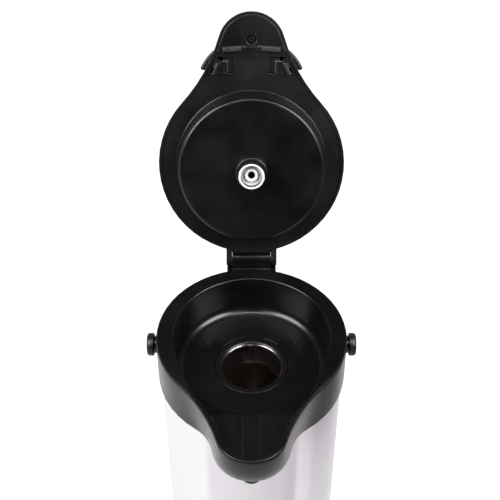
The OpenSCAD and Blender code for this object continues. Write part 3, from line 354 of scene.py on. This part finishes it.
def spigot_finish():
    """Pale satin spigot with slightly uneven gloss, in a black sleeve."""
    mat, tree, shader = new_material("spigot_pale")
    place = object_coordinates(tree)
    fine = noise(tree, place, 900.0, 3.0, 0.6)
    clouds = noise(tree, place, 160.0, 3.0)
    tone = blend_colour(tree, remap(tree, clouds, 0.0, 1.0), (0.51, 0.50, 0.50), (0.39, 0.38, 0.39))
    # Only what faces out of the lid is pale: the sleeve's outside is black, and the bore's black is painted
    # shade
    facing = dot_product(tree, tree.nodes.new("ShaderNodeTexCoord").outputs["Normal"], lid_face)
    tone = blend_colour(tree, remap(tree, facing, 0.0, 1.0, 0.02, 0.14), black, tone)
    link(tree, tone, shader.inputs["Base Color"])
    link(tree, remap(tree, fine, 0.30, 0.42), shader.inputs["Roughness"])
    link(tree, bump(tree, fine, 0.25, 0.00002, rounded_edges(tree, 0.0004)), shader.inputs["Normal"])
    return mat


spigot_pale = spigot_finish()
# Painted highlight on the nose plate's two bars
paint_bar_highlights(nose_black, 0.0643, 0.0075, (0.024, 0.022, 0.025))

FINISH = {
    "base_pad": pad_rubber, "base_cup": base_black, "outer_casing": casing_steel,
    "inner_liner": vessel_steel, "liner_support": pad_rubber, "insulation_sleeve": sleeve_foam,
    "shoulder_ring": base_black, "neck_gasket": gasket_rubber, "collar": collar_black,
    "collar_screws": collar_black, "outlet_nozzle": collar_black, "outlet_pipe": clear_silicone,
    "pickup_tube": pin_steel, "tube_grommet": clear_silicone, "hinge_pin": pin_steel,
    "handle_pivots": pin_steel, "handle_bail": handle_black, "handle_grip": grip_rubber,
    "lid_cover": lid_black, "lid_base": plate_black, "nose_plate": nose_black,
    "nose_screw": screw_black, "latch_left": latch_black, "latch_right": latch_black,
    "latch_spring_left": spring_steel, "latch_spring_right": spring_steel, "pump_plug": pump_black,
    "plug_screws": pin_steel, "spigot_holder": pump_black, "air_spigot": spigot_pale,
    "spigot_seal": clear_silicone, "check_valve": clear_silicone, "bellows": grip_rubber,
    "return_spring": spring_steel, "pump_button": lid_black,
}


merge_distance = 0.000004


def smooth_by_angle(name, limit):
    """A node group that joins doubled points and shades smooth, but for edges sharper than limit degrees."""
    group = bpy.data.node_groups.new(name, "GeometryNodeTree")
    group.interface.new_socket("Geometry", in_out="INPUT", socket_type="NodeSocketGeometry")
    group.interface.new_socket("Geometry", in_out="OUTPUT", socket_type="NodeSocketGeometry")
    start = group.nodes.new("NodeGroupInput")
    finish = group.nodes.new("NodeGroupOutput")
    bare = group.nodes.new("GeometryNodeRemoveAttribute")
    bare.inputs["Name"].default_value = "custom_normal"
    merge = group.nodes.new("GeometryNodeMergeByDistance")
    merge.inputs["Distance"].default_value = merge_distance
    faces = group.nodes.new("GeometryNodeSetShadeSmooth")
    faces.domain = "FACE"
    faces.inputs["Shade Smooth"].default_value = True
    edges = group.nodes.new("GeometryNodeSetShadeSmooth")
    edges.domain = "EDGE"
    edges.inputs["Shade Smooth"].default_value = False
    angle = group.nodes.new("GeometryNodeInputMeshEdgeAngle")
    compare = group.nodes.new("FunctionNodeCompare")
    compare.data_type = "FLOAT"
    compare.operation = "GREATER_THAN"
    compare.inputs[1].default_value = math.radians(limit)
    group.links.new(start.outputs[0], bare.inputs[0])
    group.links.new(bare.outputs[0], merge.inputs[0])
    group.links.new(merge.outputs[0], faces.inputs[0])
    group.links.new(faces.outputs[0], edges.inputs[0])
    group.links.new(angle.outputs[0], compare.inputs[0])
    group.links.new(compare.outputs[0], edges.inputs["Selection"])
    group.links.new(edges.outputs[0], finish.inputs[0])
    return group


soft_30 = smooth_by_angle("smooth_30", 30.0)
soft_22 = smooth_by_angle("smooth_22", 22.0)
SMOOTHED = {
    "collar": soft_30, "lid_cover": soft_30, "latch_left": soft_22, "latch_right": soft_22,
    "handle_bail": soft_30, "handle_grip": soft_30, "latch_spring_left": soft_30,
    "latch_spring_right": soft_30, "return_spring": soft_30,
}

for name, obj in nodes.items():
    for place in obj.material_slots:
        place.link = "OBJECT"
        place.material = FINISH[name]
    if name in SMOOTHED:
        modifier = obj.modifiers.new("smooth", "NODES")
        modifier.node_group = SMOOTHED[name]


# Pieces made here: the bellows and springs, and the bead at the plug's foot


def mesh_object(name, points, faces):
    mesh = bpy.data.meshes.new(name)
    mesh.from_pydata(points, [], faces)
    obj = bpy.data.objects.new(name, mesh)
    scene.collection.objects.link(obj)
    return obj


def grid_faces(rows, columns, closed_rows=False):
    """Quads between rows of points, each row a closed loop of columns points."""
    faces = []
    for i in range(rows if closed_rows else rows - 1):
        below, above = i * columns, (i + 1) % rows * columns
        for j in range(columns):
            k = (j + 1) % columns
            faces.append((below + j, below + k, above + k, above + j))
    return faces


def shade_smooth(obj):
    obj.data.polygons.foreach_set("use_smooth", [True] * len(obj.data.polygons))


def lathe(name, outline, turn, steps=96):
    """Turns a closed outline of (radius, height) pairs about the upright axis, then places it by turn."""
    points = []
    for radius, height in outline:
        for j in range(steps):
            a = 2.0 * math.pi * j / steps
            points.append(turn @ Vector((radius * math.cos(a), radius * math.sin(a), height)))
    obj = mesh_object(name, points, grid_faces(len(outline), steps, closed_rows=True))
    shade_smooth(obj)
    return obj


def coil(name, radius, wire, length, turns, turn, steps=40, sides=12):
    """A round wire wound along the upright axis, with flat closed ends, placed by turn."""
    points = []
    count = turns * steps
    rise = length / (2.0 * math.pi * turns)
    for i in range(count + 1):
        a = 2.0 * math.pi * i / steps
        out = Vector((math.cos(a), math.sin(a), 0.0))
        along = Vector((-radius * math.sin(a), radius * math.cos(a), rise)).normalized()
        side = along.cross(out)
        centre = out * radius + Vector((0.0, 0.0, length * i / count))
        for j in range(sides):
            b = 2.0 * math.pi * j / sides
            points.append(turn @ (centre + (out * math.cos(b) + side * math.sin(b)) * wire))
    faces = grid_faces(count + 1, sides)
    last = count * sides
    faces += [tuple(range(sides - 1, -1, -1)), tuple(range(last, last + sides))]
    obj = mesh_object(name, points, faces)
    shade_smooth(obj)
    return obj


def dress(obj, body, material, node=None):
    obj.data.materials.append(material)
    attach(obj, body)
    if node:
        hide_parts(node)


# The lid's inner plate, and the room between the pump's floor and its button
plate_z, plate_thickness = 0.0014, 0.0024
ledge_z = plate_z + plate_thickness
bellows_low, bellows_high = -0.0175, ledge_z + 0.0092
skin, fold_count, crest_r, root_r = 0.0016, 5, 0.033, 0.027
end_plate, flange_r, air_hole_r = 0.0014, 0.0360, 0.01885
points_per_fold = 12


def fold_wall(inset):
    """The bellows' wall from bottom to top, with rounded crests and roots."""
    low, high = bellows_low + end_plate, bellows_high - end_plate
    middle, swing = (crest_r + root_r) / 2.0 - inset, (crest_r - root_r) / 2.0
    count = fold_count * points_per_fold
    return [(middle - swing * math.cos(2.0 * math.pi * i / points_per_fold), low + (high - low) * i / count)
            for i in range(count + 1)]


# The bellows' top is closed but for a pinhole, which the turned outline needs
pinhole_r = 0.0004
outside, inside = fold_wall(0.0), fold_wall(skin)
outline = ([(air_hole_r, bellows_low), (flange_r, bellows_low), (flange_r, bellows_low + end_plate)]
           + outside + [(root_r, bellows_high), (pinhole_r, bellows_high),
                        (pinhole_r, bellows_high - end_plate)]
           + inside[::-1] + [(air_hole_r, bellows_low + end_plate)])
bellows = lathe("pump_bellows", outline, lid_turn)
dress(bellows, "lid", grip_rubber, "bellows")
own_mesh(bellows)

wire = 0.0008
spring_low, spring_high = bellows_low + end_plate + wire, bellows_high - end_plate - wire
spring = coil("pump_spring", 0.02045, wire, spring_high - spring_low, 4,
              lid_turn @ Matrix.Translation((0.0, 0.0, spring_low)))
dress(spring, "lid", spring_steel, "return_spring")
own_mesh(spring)

for side, sign in (("left", -1.0), ("right", 1.0)):
    start = Vector((sign * 0.0106, -0.0863, ledge_z + 0.0056))
    turned = lid_turn @ Matrix.Translation(start) @ Matrix.Rotation(math.radians(sign * 90.0), 4, "Y")
    latch_coil = coil("latch_coil_" + side, 0.0026, 0.0004, 0.0087, 5, turned, steps=24, sides=10)
    dress(latch_coil, "lid", spring_steel, "latch_spring_" + side)
    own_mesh(latch_coil)

bead_r, bead_wire = 0.0645, 0.0008
bead_outline = [(bead_r + bead_wire * math.cos(2.0 * math.pi * k / 16),
                 plate_z + bead_wire * math.sin(2.0 * math.pi * k / 16)) for k in range(16)]
bead = lathe("plug_bead", bead_outline, lid_turn, steps=160)
dress(bead, "lid", lid_black)


# Camera: the photograph's place, in front of the beak and above

camera = bpy.data.cameras.new("camera")
camera.lens = 74.8
camera.sensor_width = 36.0
camera.shift_x = -0.003
camera.clip_start = 0.02
eye = bpy.data.objects.new("camera", camera)
eye.location = (0.0, -0.5942, 0.9897)
eye.rotation_euler = (math.radians(47.3), 0.0, 0.0)
scene.collection.objects.link(eye)
scene.camera = eye


# Studio: a white table, a world that is white where the camera and bright metal see it, soft boxes

reach = 6.0
corners = [(-reach, -reach, 0), (reach, -reach, 0), (reach, reach, 0), (-reach, reach, 0)]
floor = mesh_object("floor", corners, [(0, 1, 2, 3)])
paper, tree, shader = new_material("white_table")
shader.inputs["Base Color"].default_value = (0.28, 0.28, 0.28, 1.0)
shader.inputs["Roughness"].default_value = 0.9
shader.inputs["Specular IOR Level"].default_value = 0.0
path = tree.nodes.new("ShaderNodeLightPath")
glow = tree.nodes.new("ShaderNodeEmission")
glow.inputs["Color"].default_value = (1.0, 1.0, 1.0, 1.0)
seen = sums(tree, "MAXIMUM", path.outputs["Is Camera Ray"], path.outputs["Is Transmission Ray"])
link(tree, sums(tree, "MULTIPLY", seen, 0.72), glow.inputs["Strength"])
both = tree.nodes.new("ShaderNodeAddShader")
link(tree, shader.outputs[0], both.inputs[0])
link(tree, glow.outputs[0], both.inputs[1])
# What gloss mirrors of the table: brightest on the window side, the left, and darker beyond the right side
across = tree.nodes.new("ShaderNodeSeparateXYZ")
link(tree, object_coordinates(tree), across.inputs["Vector"])
window_side = remap(tree, across.outputs["X"], 1.05, 0.88, -0.20, 0.10)
far_right = remap(tree, across.outputs["X"], 1.0, 0.30, 0.24, 0.33)
table_shine = tree.nodes.new("ShaderNodeEmission")
link(tree, sums(tree, "MULTIPLY", window_side, far_right), table_shine.inputs["Strength"])
table = tree.nodes.new("ShaderNodeMixShader")
link(tree, path.outputs["Is Glossy Ray"], table.inputs["Fac"])
link(tree, both.outputs[0], table.inputs[1])
link(tree, table_shine.outputs[0], table.inputs[2])
link(tree, table.outputs[0], tree.nodes["Material Output"].inputs["Surface"])
floor.data.materials.append(paper)
floor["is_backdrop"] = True

world = bpy.data.worlds.new("studio")
scene.world = world
world.use_nodes = True
tree = world.node_tree
tree.nodes.clear()
output = tree.nodes.new("ShaderNodeOutputWorld")
path = tree.nodes.new("ShaderNodeLightPath")
coord = tree.nodes.new("ShaderNodeTexCoord")
split = tree.nodes.new("ShaderNodeSeparateXYZ")
link(tree, coord.outputs["Generated"], split.inputs["Vector"])
white = tree.nodes.new("ShaderNodeBackground")
white.inputs["Strength"].default_value = 1.0
ambient = tree.nodes.new("ShaderNodeBackground")
ambient.inputs["Color"].default_value = (1.0, 1.0, 1.0, 1.0)
ambient.inputs["Strength"].default_value = 0.42
mirrored = tree.nodes.new("ShaderNodeBackground")
mirrored.inputs["Color"].default_value = (1.0, 0.99, 1.0, 1.0)
# The studio is bright along its walls, dark overhead and dark behind the camera
high = remap(tree, split.outputs["Z"], 1.0, 0.03, 0.05, 0.38)
front = remap(tree, sums(tree, "MULTIPLY", split.outputs["Y"], -1.0), 1.0, 0.03, 0.10, 0.50)
link(tree, sums(tree, "MULTIPLY", high, front), mirrored.inputs["Strength"])
shiny = tree.nodes.new("ShaderNodeMixShader")
link(tree, path.outputs["Is Glossy Ray"], shiny.inputs["Fac"])
link(tree, ambient.outputs[0], shiny.inputs[1])
link(tree, mirrored.outputs[0], shiny.inputs[2])
direct = tree.nodes.new("ShaderNodeMixShader")
link(tree, sums(tree, "MAXIMUM", path.outputs["Is Camera Ray"], path.outputs["Is Transmission Ray"]),
     direct.inputs["Fac"])
link(tree, shiny.outputs[0], direct.inputs[1])
link(tree, white.outputs[0], direct.inputs[2])
link(tree, direct.outputs[0], output.inputs["Surface"])


def soft_box(name, place, target, size, power, colour=(1.0, 1.0, 1.0)):
    lamp = bpy.data.lights.new(name, "AREA")
    lamp.shape = "RECTANGLE"
    lamp.size, lamp.size_y = size
    lamp.energy = power
    lamp.color = colour
    obj = bpy.data.objects.new(name, lamp)
    obj.location = place
    obj.rotation_euler = (Vector(target) - Vector(place)).to_track_quat("-Z", "Y").to_euler()
    scene.collection.objects.link(obj)
    return obj


soft_box("box_left", (-0.84, -0.42, 1.28), (0.0, 0.0, 0.36), (0.8, 0.8), 36.0)
soft_box("box_right", (0.84, -0.42, 1.28), (0.0, 0.0, 0.36), (0.8, 0.8), 36.0)
soft_box("box_top", (0.0, -0.30, 1.9), (0.0, 0.0, 0.3), (0.9, 0.30), 11.0)

low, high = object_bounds()
